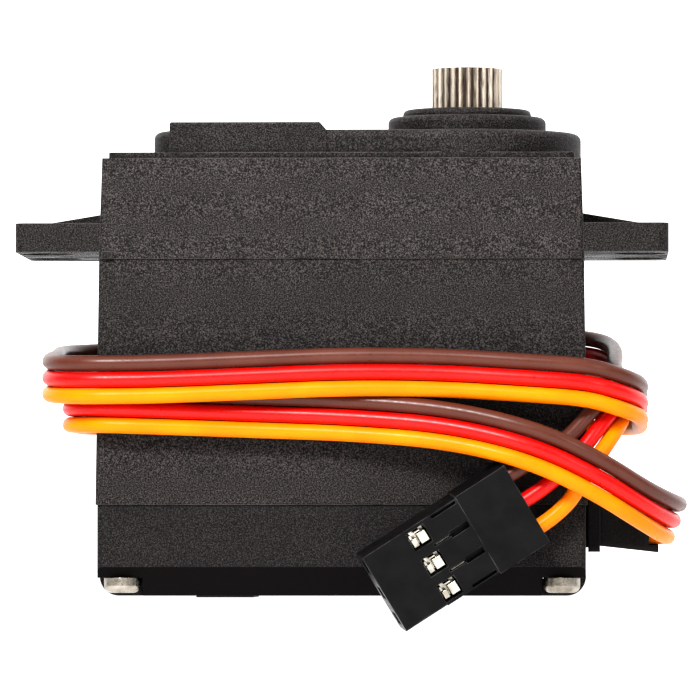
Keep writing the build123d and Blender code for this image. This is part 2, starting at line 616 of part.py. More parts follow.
def relief_section(x, width, bottom, top, radius):
    """A rounded rectangle across the lead, between two heights."""
    with BuildSketch(Plane.YZ.offset(x)) as section:
        with Locations((0, (bottom + top) / 2)):
            RectangleRounded(width, top - bottom, radius)
    return section.sketch


with BuildPart() as strain_relief:
    plug = relief_section(PLUG_X, 5.6, RELIEF_Z[0] + 0.02, RELIEF_Z[1] - 0.02, 0.6)
    extrude(plug, amount=FLANGE_X[0] - PLUG_X)
    flange = relief_section(FLANGE_X[0], 6.6, FLANGE_Z[0], FLANGE_Z[1], 0.5)
    extrude(flange, amount=FLANGE_X[1] - FLANGE_X[0])
    start = relief_section(FLANGE_X[1], *SLEEVE_START, 0.5)
    end = relief_section(RELIEF_TIP_X, *SLEEVE_END, 0.5)
    loft([start, end])
    with BuildSketch(Plane.YZ.offset(PLUG_X)):
        with Locations((0, LEAD_Z)):
            with GridLocations(1, WIRE_PITCH, 1, 3):
                Circle(WIRE_RADIUS)
    extrude(amount=RELIEF_TIP_X - PLUG_X, mode=Mode.SUBTRACT)
    # the wires come out in a pocket, which is open on the side they fold over
    with BuildSketch(Plane.YZ.offset(LEAD_EXIT_X)):
        with Locations((0, LEAD_Z)):
            Rectangle(POCKET_WIDTH, POCKET_HEIGHT)
    extrude(amount=RELIEF_TIP_X - LEAD_EXIT_X, mode=Mode.SUBTRACT)
    with BuildSketch(Plane.YZ.offset(POCKET_OPEN_X)):
        with Locations((-SLEEVE_START[0] / 2, LEAD_Z)):
            Rectangle(SLEEVE_START[0], POCKET_HEIGHT)
    extrude(amount=RELIEF_TIP_X - POCKET_OPEN_X, mode=Mode.SUBTRACT)
save("strain_relief", strain_relief)

# Route of the middle wire, from the strain relief to the connector.
ROUTE = [
    (LEAD_EXIT_X, 0.0, LEAD_Z),
    (26.78, 0.0, -22.3),
    (27.63, -0.88, -22.3),
    (27.63, -3.0, -22.3),
    (27.0, -6.4, -22.1),
    (25.1, -10.0, -21.1),
    (21.6, -13.3, -18.9),
    (16.4, -14.8, -16.3),
    (9.2, -13.5, -14.5),
    (1.0, -12.1, -13.8),
    (-7.6, -11.6, -13.5),
    (-14.6, -11.9, -13.25),
    (-19.4, -12.0, -13.1),
    (-21.5, -10.8, -13.05),
    (-22.7, -8.65, -13.0),
    (-22.8, -4.3, -12.95),
    (-22.6, 1.0, -12.9),
    (-22.8, 4.9, -12.9),
    (-22.7, 8.7, -12.9),
    (-21.5, 10.85, -12.9),
    (-19.35, 12.1, -12.9),
    (-14.6, 12.0, -12.8),
    (-7.2, 11.7, -12.7),
    (1.4, 11.9, -12.6),
    (9.4, 11.9, -12.7),
    (15.8, 12.5, -12.8),
    (20.5, 12.8, -12.9),
    (23.1, 11.3, -12.95),
    (24.6, 8.7, -12.95),
    (24.95, 4.0, -12.9),
    (24.7, -1.4, -12.7),
    (24.95, -5.2, -12.5),
    (24.6, -9.1, -12.2),
    (23.1, -11.7, -11.7),
    (20.5, -13.1, -10.95),
    (15.5, -13.3, -10.6),
    (8.6, -13.0, -10.15),
    (0.6, -13.3, -10.05),
    (-7.8, -13.4, -10.4),
    (-15.2, -13.6, -10.7),
    (-20.4, -13.6, -10.75),
    (-22.8, -12.3, -10.7),
    (-24.3, -9.7, -10.55),
    (-24.55, -4.8, -10.2),
    (-24.3, 0.9, -9.85),
    (-24.55, 5.0, -9.5),
    (-24.3, 9.0, -9.25),
    (-22.9, 11.6, -9.1),
    (-20.4, 13.0, -8.95),
    (-15.8, 12.6, -8.7),
    (-8.4, 11.8, -8.5),
    (-0.2, 11.9, -8.2),
    (7.8, 11.7, -8.0),
    (14.2, 12.3, -7.8),
    (18.9, 12.4, -7.8),
    (21.2, 11.1, -8.1),
    (22.5, 8.7, -8.7),
    (22.85, 4.4, -9.6),
    (22.6, 0.0, -10.6),
    (23.4, -5.35, -12.1),
    (22.25, -10.7, -13.5),
    (19.45, -12.15, -17.25),
]
# How far the ribbon of wires leans over: at the fold beside the strain relief, where each wire
# leaves the relief a little further out than the one below it, and where it comes to the connector.
LEAN = {1: 0.37, 2: 0.37, 3: 0.37, 4: 0.36, 5: 0.2, 59: -0.12, 60: -0.42, 61: -0.61}


def unit(vector):
    """A vector's direction."""
    length = math.sqrt(sum(part * part for part in vector))
    return [part / length for part in vector]


def cross(a, b):
    """The cross product of two vectors."""
    return (a[1] * b[2] - a[2] * b[1], a[2] * b[0] - a[0] * b[2], a[0] * b[1] - a[1] * b[0])


def connector_point(along, across, out=0.0):
    """A place on the connector: along its length, across its row of wires, and out of its face."""
    upward = cross(CONNECTOR_OUT, CONNECTOR_ALONG)
    axes = zip(CONNECTOR_CENTRE, CONNECTOR_ALONG, upward, CONNECTOR_OUT)
    return tuple(start + along * a + across * b + out * c for start, a, b, c in axes)


def wire_route(row):
    """The route of one wire: row is 1 for the upper wire, 0 for the middle and -1 for the lower."""
    entry = CONNECTOR_SIZE[0] / 2
    points = []
    for number, point in enumerate(ROUTE):
        before = ROUTE[max(number - 1, 0)]
        after = ROUTE[min(number + 1, len(ROUTE) - 1)]
        if number == 0:
            after = (point[0] + 1, point[1], point[2])
        if number in LEAN:
            side = (LEAN[number], 0, 1)
        else:
            along = unit([b - a for a, b in zip(before, after)])
            side = unit([-along[2] * along[0], -along[2] * along[1], 1 - along[2] ** 2])
        points.append([p + row * WIRE_PITCH * s for p, s in zip(point, side)])
    points.append(list(connector_point(entry + 2.6, row * CONTACT_PITCH)))
    points.append(list(connector_point(entry, row * CONTACT_PITCH)))
    return points


def bend_radii(points):
    """The largest arc at each corner that leaves some straight in both of its runs."""
    radii = []
    for before, point, after in zip(points, points[1:], points[2:]):
        first = Vector(*point) - Vector(*before)
        second = Vector(*after) - Vector(*point)
        half_turn = math.radians(first.get_angle(second)) / 2
        radii.append(0.45 * min(first.length, second.length) / math.tan(half_turn))
    return radii


def wire_tube(name, row):
    """One wire: a round section swept along straight runs joined by arcs."""
    points = wire_route(row)
    radii = bend_radii(points)
    print(name, "radii", [round(radius, 1) for radius in radii])
    with BuildPart() as wire:
        with BuildLine() as path:
            FilletPolyline(*[tuple(point) for point in points], radius=radii)
        with BuildSketch(Plane(origin=path.line @ 0, z_dir=path.line % 0)):
            Circle(WIRE_RADIUS)
        sweep(path=path.line)
    length = path.wires()[0].length
    expected = math.pi * WIRE_RADIUS**2 * length
    print(name, "length", round(length, 1), "volume ratio", round(wire.part.volume / expected, 4))
    save(name, wire)


wire_tube("wire_brown", 1)
wire_tube("wire_red", 0)
wire_tube("wire_yellow", -1)

with BuildPart() as lead_tails:
    for row in (1, 0, -1):
        with BuildSketch(Plane.YZ.offset(18.0)):
            with Locations((0, LEAD_Z + row * WIRE_PITCH)):
                Circle(WIRE_RADIUS)
        extrude(amount=LEAD_EXIT_X - 18.0)
save("lead_tails", lead_tails)

# ---- connector ----
LENGTH, HEIGHT, THICKNESS = CONNECTOR_SIZE
WINDOW_ALONG = -2.1
ROWS = (CONTACT_PITCH, 0.0, -CONTACT_PITCH)
connector_plane = Plane(origin=CONNECTOR_CENTRE, x_dir=CONNECTOR_ALONG, z_dir=CONNECTOR_OUT)
end_plane = Plane(
    origin=connector_point(-LENGTH / 2, 0),
    x_dir=CONNECTOR_OUT,
    z_dir=CONNECTOR_ALONG,
)

with BuildPart() as connector_housing:
    with BuildSketch(connector_plane.offset(-THICKNESS / 2)):
        Rectangle(LENGTH, HEIGHT)
    extrude(amount=THICKNESS)
    long_edges = connector_housing.edges().filter_by(Axis(connector_plane.origin, connector_plane.x_dir))
    chamfer(long_edges, 0.3)
    # windows onto the contacts, and the slots beside each latch
    with BuildSketch(connector_plane):
        for across in ROWS:
            with Locations((WINDOW_ALONG, across)):
                Rectangle(1.7, 1.5)
    extrude(amount=THICKNESS, mode=Mode.SUBTRACT)
    with BuildSketch(connector_plane.offset(THICKNESS / 2 - 0.5)):
        for across in ROWS:
            with Locations((0.45, across + 0.62), (0.45, across - 0.62)):
                Rectangle(3.4, 0.3)
    extrude(amount=0.6, mode=Mode.SUBTRACT)
    # openings for the pins
    with BuildSketch(end_plane):
        for across in ROWS:
            with Locations((0, across)):
                Rectangle(1.1, 1.1)
    extrude(amount=LENGTH - 2.0, mode=Mode.SUBTRACT)
save("connector_housing", connector_housing)

with BuildPart() as connector_contacts:
    with BuildSketch(end_plane.offset(2.0)):
        for across in ROWS:
            with Locations((0, across)):
                Rectangle(0.9, 0.9)
    extrude(amount=LENGTH - 4.4)
    # the box of each contact, seen through its window
    with BuildSketch(connector_plane):
        for across in ROWS:
            with Locations((WINDOW_ALONG, across)):
                Rectangle(1.5, 1.3)
    extrude(amount=THICKNESS / 2 - 0.3)
    with BuildSketch(end_plane.offset(2.0)):
        for across in ROWS:
            with Locations((0, across)):
                Rectangle(0.66, 0.66)
    extrude(amount=LENGTH - 7.0, mode=Mode.SUBTRACT)
save("connector_contacts", connector_contacts)
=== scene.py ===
import bpy
import bmesh
import itertools
import json
import math
from mathutils import Matrix, Vector


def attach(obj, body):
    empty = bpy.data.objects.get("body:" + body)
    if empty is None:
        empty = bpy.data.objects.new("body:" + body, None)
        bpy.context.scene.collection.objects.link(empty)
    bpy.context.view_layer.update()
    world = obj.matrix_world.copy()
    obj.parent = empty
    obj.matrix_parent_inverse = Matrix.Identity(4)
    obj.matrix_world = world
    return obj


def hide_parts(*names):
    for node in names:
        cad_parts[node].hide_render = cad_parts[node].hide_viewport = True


# The same servo motor as the CAD part, in metres, in the same frame.
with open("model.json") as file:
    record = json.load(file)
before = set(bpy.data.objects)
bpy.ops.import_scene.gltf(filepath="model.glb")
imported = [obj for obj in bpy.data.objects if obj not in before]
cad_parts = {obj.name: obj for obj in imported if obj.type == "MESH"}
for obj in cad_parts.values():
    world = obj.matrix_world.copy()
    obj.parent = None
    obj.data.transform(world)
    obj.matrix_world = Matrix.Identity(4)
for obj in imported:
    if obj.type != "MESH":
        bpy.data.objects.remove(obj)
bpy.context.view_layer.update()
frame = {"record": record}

# ---- camera: a long lens, a little below and to the right of the case ----
CAMERA_PLACE = Vector((0.02018, -0.61025, -0.0252))
CAMERA_AIM = Vector((0.00074, -0.01025, -0.0082))
VIEW_WIDTH = 0.0581
SENSOR_WIDTH = 36
CLIP_NEAR, CLIP_FAR = 0.01, 30

MM = 0.001

# ---- sizes shared with the CAD part ----
WIRE_RADIUS = 0.00066
WIRE_PITCH = 0.00136
CONTACT_PITCH = 0.00254
CONNECTOR_CENTRE = Vector((0.009295, -0.0136, -0.024555))
CONNECTOR_ALONG = Vector((0.8325, 0.1325, 0.5382))
CONNECTOR_OUT = Vector((0.254, -0.954, -0.158))
CONNECTOR_LENGTH = 0.014
# How far each wire runs straight before it enters the connector.
WIRE_ENTRY_RUN = 0.0026
OUTPUT_X = 0.0103
# Distances from the output's axis between which its teeth go from painted shade to bare steel.
TOOTH_ROOT, TOOTH_TIP = 0.00266, 0.00291
# How far the ribbon of wires leans over at some of the route's points: those at the fold beside the
# strain relief, and those near the connector.
LEAN = {1: 0.37, 2: 0.37, 3: 0.37, 4: 0.36, 5: 0.2, 59: -0.12, 60: -0.42, 61: -0.61}
# Route of the middle wire, from the strain relief to the connector.
ROUTE = [
    (0.02485, 0.0, -0.0223),
    (0.02678, 0.0, -0.0223),
    (0.02763, -0.00088, -0.0223),
    (0.02763, -0.003, -0.0223),
    (0.027, -0.0064, -0.0221),
    (0.0251, -0.01, -0.0211),
    (0.0216, -0.0133, -0.0189),
    (0.0164, -0.0148, -0.0163),
    (0.0092, -0.0135, -0.0145),
    (0.001, -0.0121, -0.0138),
    (-0.0076, -0.0116, -0.0135),
    (-0.0146, -0.0119, -0.01325),
    (-0.0194, -0.012, -0.0131),
    (-0.0215, -0.0108, -0.01305),
    (-0.0227, -0.00865, -0.013),
    (-0.0228, -0.0043, -0.01295),
    (-0.0226, 0.001, -0.0129),
    (-0.0228, 0.0049, -0.0129),
    (-0.0227, 0.0087, -0.0129),
    (-0.0215, 0.01085, -0.0129),
    (-0.01935, 0.0121, -0.0129),
    (-0.0146, 0.012, -0.0128),
    (-0.0072, 0.0117, -0.0127),
    (0.0014, 0.0119, -0.0126),
    (0.0094, 0.0119, -0.0127),
    (0.0158, 0.0125, -0.0128),
    (0.0205, 0.0128, -0.0129),
    (0.0231, 0.0113, -0.01295),
    (0.0246, 0.0087, -0.01295),
    (0.02495, 0.004, -0.0129),
    (0.0247, -0.0014, -0.0127),
    (0.02495, -0.0052, -0.0125),
    (0.0246, -0.0091, -0.0122),
    (0.0231, -0.0117, -0.0117),
    (0.0205, -0.0131, -0.01095),
    (0.0155, -0.0133, -0.0106),
    (0.0086, -0.013, -0.01015),
    (0.0006, -0.0133, -0.01005),
    (-0.0078, -0.0134, -0.0104),
    (-0.0152, -0.0136, -0.0107),
    (-0.0204, -0.0136, -0.01075),
    (-0.0228, -0.0123, -0.0107),
    (-0.0243, -0.0097, -0.01055),
    (-0.02455, -0.0048, -0.0102),
    (-0.0243, 0.0009, -0.00985),
    (-0.02455, 0.005, -0.0095),
    (-0.0243, 0.009, -0.00925),
    (-0.0229, 0.0116, -0.0091),
    (-0.0204, 0.013, -0.00895),
    (-0.0158, 0.0126, -0.0087),
    (-0.0084, 0.0118, -0.0085),
    (-0.0002, 0.0119, -0.0082),
    (0.0078, 0.0117, -0.008),
    (0.0142, 0.0123, -0.0078),
    (0.0189, 0.0124, -0.0078),
    (0.0212, 0.0111, -0.0081),
    (0.0225, 0.0087, -0.0087),
    (0.02285, 0.0044, -0.0096),
    (0.0226, 0.0, -0.0106),
    (0.0234, -0.00535, -0.0121),
    (0.02225, -0.0107, -0.0135),
    (0.01945, -0.01215, -0.01725),
]


def link(name, data):
    """A new object in the scene."""
    thing = bpy.data.objects.new(name, data)
    bpy.context.scene.collection.objects.link(thing)
    return thing


def aim(thing, place, target):
    """Put a camera or light at a place, looking at a target."""
    thing.location = place
    thing.rotation_mode = "QUATERNION"
    thing.rotation_quaternion = (Vector(target) - Vector(place)).to_track_quat("-Z", "Y")


camera = link("camera", bpy.data.cameras.new("camera"))
aim(camera, CAMERA_PLACE, CAMERA_AIM)
camera.data.sensor_width = SENSOR_WIDTH
camera.data.lens = SENSOR_WIDTH * (CAMERA_AIM - CAMERA_PLACE).length / VIEW_WIDTH
camera.data.clip_start = CLIP_NEAR
camera.data.clip_end = CLIP_FAR
bpy.context.scene.camera = camera


# ---- wires ----
def connector_point(along, across):
    """A place on the connector: along its length and across its row of wires."""
    upward = CONNECTOR_OUT.cross(CONNECTOR_ALONG)
    return CONNECTOR_CENTRE + along * CONNECTOR_ALONG + across * upward


def wire_route(row):
    """Control points of one wire, where row is 1 for the upper, 0 for the middle and -1 for the lower."""
    entry = CONNECTOR_LENGTH / 2
    points = []
    for number, point in enumerate(ROUTE):
        before = Vector(ROUTE[max(number - 1, 0)])
        after = Vector(ROUTE[min(number + 1, len(ROUTE) - 1)])
        along = (after - before).normalized()
        if number in LEAN:
            side = Vector((LEAN[number], 0, 1))
        else:
            side = (Vector((0, 0, 1)) - along * along.z).normalized()
        points.append(Vector(point) + side * row * WIRE_PITCH)
    points.append(connector_point(entry + WIRE_ENTRY_RUN, row * CONTACT_PITCH))
    points.append(connector_point(entry, row * CONTACT_PITCH))
    return points


def make_wire(name, row):
    """One wire as a smooth curve with the wire's own thickness."""
    points = wire_route(row)
    data = bpy.data.curves.new(name, "CURVE")
    data.dimensions = "3D"
    # Each point's own radius gives the thickness, because a curve's bounding box grows by it.
    data.bevel_depth = 1.0
    data.bevel_resolution = 6
    data.resolution_u = 10
    spline = data.splines.new("NURBS")
    spline.points.add(len(points) - 1)
    for control, point in zip(spline.points, points):
        control.co = (*point, 1)
        control.radius = WIRE_RADIUS
    spline.order_u = 3
    spline.use_endpoint_u = True
    wire = link(name, data)
    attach(wire, "case")
    return wire


WIRE_ROWS = {"wire_brown": 1, "wire_red": 0, "wire_yellow": -1}
wires = {node: make_wire(node + "_lead", row) for node, row in WIRE_ROWS.items()}


# ---- connector ----
# A box's six faces, as places in the list of its corners.
BOX_FACES = ((0, 1, 3, 2), (4, 6, 7, 5), (0, 4, 5, 1), (2, 3, 7, 6), (0, 2, 6, 4), (1, 5, 7, 3))


def add_box(shape, low, high):
    """Add a box to a mesh, given two opposite corners."""
    corners = itertools.product(*zip(low, high))
    verts = [shape.verts.new(corner) for corner in corners]
    for face in BOX_FACES:
        shape.faces.new([verts[index] for index in face])


def box_mesh(name, boxes):
    """A mesh made of boxes, each given as two corners in millimetres."""
    shape = bmesh.new()
    for low, high in boxes:
        add_box(shape, [part * MM for part in low], [part * MM for part in high])
    bmesh.ops.recalc_face_normals(shape, faces=shape.faces)
    data = bpy.data.meshes.new(name)
    shape.to_mesh(data)
    shape.free()
    return link(name, data)


def cut(thing, cutter):
    """Take the cutter's boxes out of a mesh, for good."""
    step = thing.modifiers.new("cut", "BOOLEAN")
    step.object = cutter
    step.solver = "EXACT"
    bpy.context.view_layer.update()
    evaluated = thing.evaluated_get(bpy.context.evaluated_depsgraph_get())
    finished = bpy.data.meshes.new_from_object(evaluated)
    thing.modifiers.clear()
    thing.data = finished
    bpy.data.objects.remove(cutter)


def soften(thing, width):
    """Round a mesh's sharp edges, by a width in millimetres."""
    step = thing.modifiers.new("soften", "BEVEL")
    step.width = width * MM
    step.segments = 2
    step.limit_method = "ANGLE"
    step.angle_limit = SHARP_ANGLE
    step.harden_normals = True


def place_on_connector(thing):
    """Move a mesh made along its own axes into the connector's place."""
    across = CONNECTOR_OUT.cross(CONNECTOR_ALONG).normalized()
    turn = Matrix((CONNECTOR_ALONG.normalized(), across, CONNECTOR_OUT.normalized())).transposed()
    thing.data.transform(Matrix.Translation(CONNECTOR_CENTRE) @ turn.to_4x4())


def beside(box, across):
    """A box, given as two corners, moved across the connector."""
    return tuple((x, y + across, z) for x, y, z in box)


# Sizes from here to the end of the connector are in millimetres, from its centre: along it towards
# the wires, across its row, and out of the face with the windows.
HALF_LENGTH, HALF_HEIGHT, HALF_THICKNESS = CONNECTOR_LENGTH / MM / 2, 3.8, 1.3
HALF_PITCH = CONTACT_PITCH / MM / 2
ROWS = (2 * HALF_PITCH, 0.0, -2 * HALF_PITCH)
# Where the cuts end, past the housing's own faces.
PAST_END, PAST_SIDE, PAST_FACE = 7.5, 4.0, 1.5
# Where the thicker rear begins, and the window's two ends.
REAR_START = 2.15
WINDOW_START, WINDOW_END = -2.95, -1.25
# The face and sides of the thinner front, and the nose's sunken corner.
LOW_FACE, LOW_SIDE = 1.22, 3.66
NOSE_CORNER_SIDE, NOSE_CORNER_FACE = 3.5, 0.95
FRONT_CUTS = (
    ((-PAST_END, -PAST_SIDE, LOW_FACE), (REAR_START, PAST_SIDE, PAST_FACE)),
    ((-PAST_END, LOW_SIDE, -PAST_FACE), (REAR_START, PAST_SIDE, PAST_FACE)),
    ((-PAST_END, -PAST_SIDE, -PAST_FACE), (REAR_START, -LOW_SIDE, PAST_FACE)),
    ((-PAST_END, -PAST_SIDE, NOSE_CORNER_FACE), (WINDOW_START, -NOSE_CORNER_SIDE, PAST_FACE)),
)
# Between two latches, a groove and a slit that runs on from it to the windows.
GROOVE = ((0.25, -0.3, 0.6), (2.0, 0.3, PAST_FACE))
SLIT = ((WINDOW_END - 0.1, -0.11, 0.7), (0.35, 0.11, PAST_FACE))
# Outside the outer latches, a narrower groove on each side.
OUTER_GROOVE = ((-0.4, -0.14, 0.6), (2.0, 0.14, PAST_FACE))
OUTER_GROOVE_PLACE = 3.42
WINDOW = ((WINDOW_START, -0.86, -0.5), (WINDOW_END, 0.8, PAST_FACE))
PIN_HOLE = ((-PAST_END, -0.6, -0.62), (-2.9, 0.6, 0.62))
WIRE_HOLE = ((5.0, -0.7, -0.7), (PAST_END, 0.7, 0.7))
# Each group of cuts, with the places across the connector where it is made.
CUTS = (
    ((0.0,), FRONT_CUTS),
    ((HALF_PITCH, -HALF_PITCH), (GROOVE, SLIT)),
    ((OUTER_GROOVE_PLACE, -OUTER_GROOVE_PLACE), (OUTER_GROOVE,)),
    (ROWS, (WINDOW, PIN_HOLE, WIRE_HOLE)),
)

# One contact: the four walls of its socket, behind the pin opening.
SOCKET_START, SOCKET_END = -6.6, -3.0
SOCKET_OUTSIDE, SOCKET_INSIDE = 0.58, 0.46
SOCKET = (
    ((SOCKET_START, -SOCKET_OUTSIDE, -SOCKET_OUTSIDE), (SOCKET_END, -SOCKET_INSIDE, SOCKET_OUTSIDE)),
    ((SOCKET_START, SOCKET_INSIDE, -SOCKET_OUTSIDE), (SOCKET_END, SOCKET_OUTSIDE, SOCKET_OUTSIDE)),
    ((SOCKET_START, -SOCKET_INSIDE, SOCKET_INSIDE), (SOCKET_END, SOCKET_INSIDE, SOCKET_OUTSIDE)),
    ((SOCKET_START, -SOCKET_INSIDE, -SOCKET_OUTSIDE), (SOCKET_END, SOCKET_INSIDE, -SOCKET_INSIDE)),
)
# What of it shows in the window: its floor, spring, folded edge, locking tab and the tab's edge.
IN_WINDOW = (
    ((-2.9, -0.7, -0.45), (-1.3, 0.6, 0.2)),
    ((-2.8, -0.72, 0.1), (-2.3, 0.02, 0.78)),
    ((-2.86, 0.12, 0.1), (-2.62, 0.52, 0.98)),
    ((-2.14, -0.66, 0.1), (-1.36, 0.3, 1.0)),
    ((-2.3, 0.4, 0.1), (-1.7, 0.56, 0.9)),
)
# A thin edge of metal that glints in a slit.
GLINT = ((-1.2, -0.05, 0.55), (0.1, 0.04, 1.12))

HOUSING_ROUNDING, CONTACT_ROUNDING = 0.09, 0.06
SHARP_ANGLE = math.radians(40)

housing = box_mesh("connector_shell", [
    ((-HALF_LENGTH, -HALF_HEIGHT, -HALF_THICKNESS), (HALF_LENGTH, HALF_HEIGHT, HALF_THICKNESS)),
])
for places, boxes in CUTS:
    for across in places:
        for box in boxes:
            cut(housing, box_mesh("cutter", [beside(box, across)]))
soften(housing, HOUSING_ROUNDING)
place_on_connector(housing)

contact_boxes = [beside(box, across) for across in ROWS for box in SOCKET + IN_WINDOW]
contact_boxes += [beside(GLINT, across) for across in (HALF_PITCH, -HALF_PITCH)]
contacts = box_mesh("connector_pins", contact_boxes)
soften(contacts, CONTACT_ROUNDING)
place_on_connector(contacts)

for thing, node in ((housing, "connector_housing"), (contacts, "connector_contacts")):
    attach(thing, "case")
    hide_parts(node)
for node, row in WIRE_ROWS.items():
    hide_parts(node)


# ---- materials ----
# How far the painted highlight reaches from a plastic edge.
EDGE_HIGHLIGHT_REACH = 0.00012
# The Mix node's outputs are one for each kind of data, and this is the colour's.
COLOUR_RESULT = 2
# Rays sent out for each lookup: for rounding and the painted shade in crevices, and for the painted
# highlight on edges.
SOFT_SAMPLES = 6
EDGE_SAMPLES = 8


def scaled(colour, share):
    """A colour made darker or lighter."""
    return tuple(part * share for part in colour)


def grey(level):
    """The colour with this level in all three parts."""
    return (level, level, level)


class Shader:
    """A material being built from nodes, with shorthand for the nodes used here. Sizes are in metres."""

    def __init__(self, name):
        self.material = bpy.data.materials.new(name)
        self.material.use_nodes = True
        self.tree = self.material.node_tree
        self.tree.nodes.clear()
        self.surface = self.tree.nodes.new("ShaderNodeBsdfPrincipled")
        output = self.tree.nodes.new("ShaderNodeOutputMaterial")
        self.join(self.surface.outputs["BSDF"], output.inputs["Surface"])
        self.where = self.tree.nodes.new("ShaderNodeTexCoord")

    def join(self, source, target):
        """Feed one socket from another."""
        self.tree.links.new(source, target)

    def noise(self, size, detail=3.0, stretch=(1, 1, 1), rough=0.5):
        """Noise whose features are about `size` metres across, drawn out by `stretch`."""
        mapping = self.tree.nodes.new("ShaderNodeMapping")
        mapping.inputs["Scale"].default_value = [1 / (size * part) for part in stretch]
        self.join(self.where.outputs["Object"], mapping.inputs["Vector"])
        node = self.tree.nodes.new("ShaderNodeTexNoise")
        node.inputs["Scale"].default_value = 1.0
        node.inputs["Detail"].default_value = detail
        node.inputs["Roughness"].default_value = rough
        self.join(mapping.outputs["Vector"], node.inputs["Vector"])
        return node.outputs["Fac"]

    def ramp(self, source, low, high, start, end):
        """Colours from `start` to `end` as the source goes from low to high."""
        node = self.tree.nodes.new("ShaderNodeValToRGB")
        node.color_ramp.elements[0].position = low
        node.color_ramp.elements[1].position = high
        node.color_ramp.elements[0].color = (*start, 1)
        node.color_ramp.elements[1].color = (*end, 1)
        self.join(source, node.inputs["Fac"])
        return node.outputs["Color"]

    def spread(self, source, low, high, start, end):
        """Values from `start` to `end` as the source goes from low to high."""
        node = self.tree.nodes.new("ShaderNodeMapRange")
        for name, value in (("From Min", low), ("From Max", high), ("To Min", start), ("To Max", end)):
            node.inputs[name].default_value = value
        self.join(source, node.inputs["Value"])
        return node.outputs["Result"]

    def maths(self, operation, first, second):
        """One value worked out from two."""
        node = self.tree.nodes.new("ShaderNodeMath")
        node.operation = operation
        for source, target in ((first, 0), (second, 1)):
            if isinstance(source, (int, float)):
                node.inputs[target].default_value = source
            else:
                self.join(source, node.inputs[target])
        return node.outputs["Value"]

    def mix(self, share, first, second, blend="MIX"):
        """Two colours blended, with this share of the second."""
        node = self.tree.nodes.new("ShaderNodeMix")
        node.data_type = "RGBA"
        node.blend_type = blend
        factor, colour_a, colour_b = 0, 6, 7
        for source, target in ((share, factor), (first, colour_a), (second, colour_b)):
            if isinstance(source, (int, float)):
                node.inputs[target].default_value = source
            elif isinstance(source, tuple):
                node.inputs[target].default_value = (*source, 1)
            else:
                self.join(source, node.inputs[target])
        return node.outputs[COLOUR_RESULT]

    def tint(self, first, second):
        """Two colours multiplied."""
        return self.mix(1.0, first, second, "MULTIPLY")

    def facing(self, start, end):
        """From 0 to 1 as the upward part of a face's direction, 1 for up and -1 for down, goes from
        start to end."""
        node = self.tree.nodes.new("ShaderNodeSeparateXYZ")
        self.join(self.where.outputs["Normal"], node.inputs["Vector"])
        return self.spread(node.outputs["Z"], start, end, 0.0, 1.0)

    def off_axis(self, x, low, high):
        """From 0 to 1 as the distance from an upright axis at x goes from low to high."""
        node = self.tree.nodes.new("ShaderNodeVectorMath")
        node.operation = "SUBTRACT"
        node.inputs[1].default_value = (x, 0, 0)
        self.join(self.where.outputs["Object"], node.inputs[0])
        flat = self.tree.nodes.new("ShaderNodeVectorMath")
        flat.operation = "MULTIPLY"
        flat.inputs[1].default_value = (1, 1, 0)
        self.join(node.outputs["Vector"], flat.inputs[0])
        length = self.tree.nodes.new("ShaderNodeVectorMath")
        length.operation = "LENGTH"
        self.join(flat.outputs["Vector"], length.inputs[0])
        return self.spread(length.outputs["Value"], low, high, 0.0, 1.0)

    def painted_crevice_shade(self, reach):
        """Painted shade: grey that darkens within `reach` metres of a corner or a seam."""
        node = self.tree.nodes.new("ShaderNodeAmbientOcclusion")
        node.samples = SOFT_SAMPLES
        node.inputs["Distance"].default_value = reach
        return self.ramp(node.outputs["AO"], 0.45, 0.9, grey(0.25), grey(1.0))

    def edges(self, reach):
        """1 on sharp edges, falling to 0 on the flat within `reach` metres of them."""
        rounding = self.tree.nodes.new("ShaderNodeBevel")
        rounding.samples = EDGE_SAMPLES
        rounding.inputs["Radius"].default_value = reach
        node = self.tree.nodes.new("ShaderNodeVectorMath")
        node.operation = "DOT_PRODUCT"
        self.join(rounding.outputs["Normal"], node.inputs[0])
        self.join(self.tree.nodes.new("ShaderNodeNewGeometry").outputs["Normal"], node.inputs[1])
        return self.spread(node.outputs["Value"], 0.98, 0.86, 0.0, 1.0)

    def bump(self, height, depth, strength=1.0, edge=0.0):
        """Bumps `depth` metres high. With `edge`, sharp edges are shaded as if rounded by that much."""
        node = self.tree.nodes.new("ShaderNodeBump")
        node.inputs["Strength"].default_value = strength
        node.inputs["Distance"].default_value = depth
        self.join(height, node.inputs["Height"])
        if edge:
            rounding = self.tree.nodes.new("ShaderNodeBevel")
            rounding.samples = SOFT_SAMPLES
            rounding.inputs["Radius"].default_value = edge
            self.join(rounding.outputs["Normal"], node.inputs["Normal"])
        self.join(node.outputs["Normal"], self.surface.inputs["Normal"])

    def set(self, **values):
        """Plain values or sources for the surface's inputs."""
        for name, value in values.items():
            target = self.surface.inputs[name.replace("_", " ")]
            if isinstance(value, (int, float)):
                target.default_value = value
            elif isinstance(value, tuple):
                target.default_value = value if target.type == "VECTOR" else (*value, 1)
            else:
                self.join(value, target)


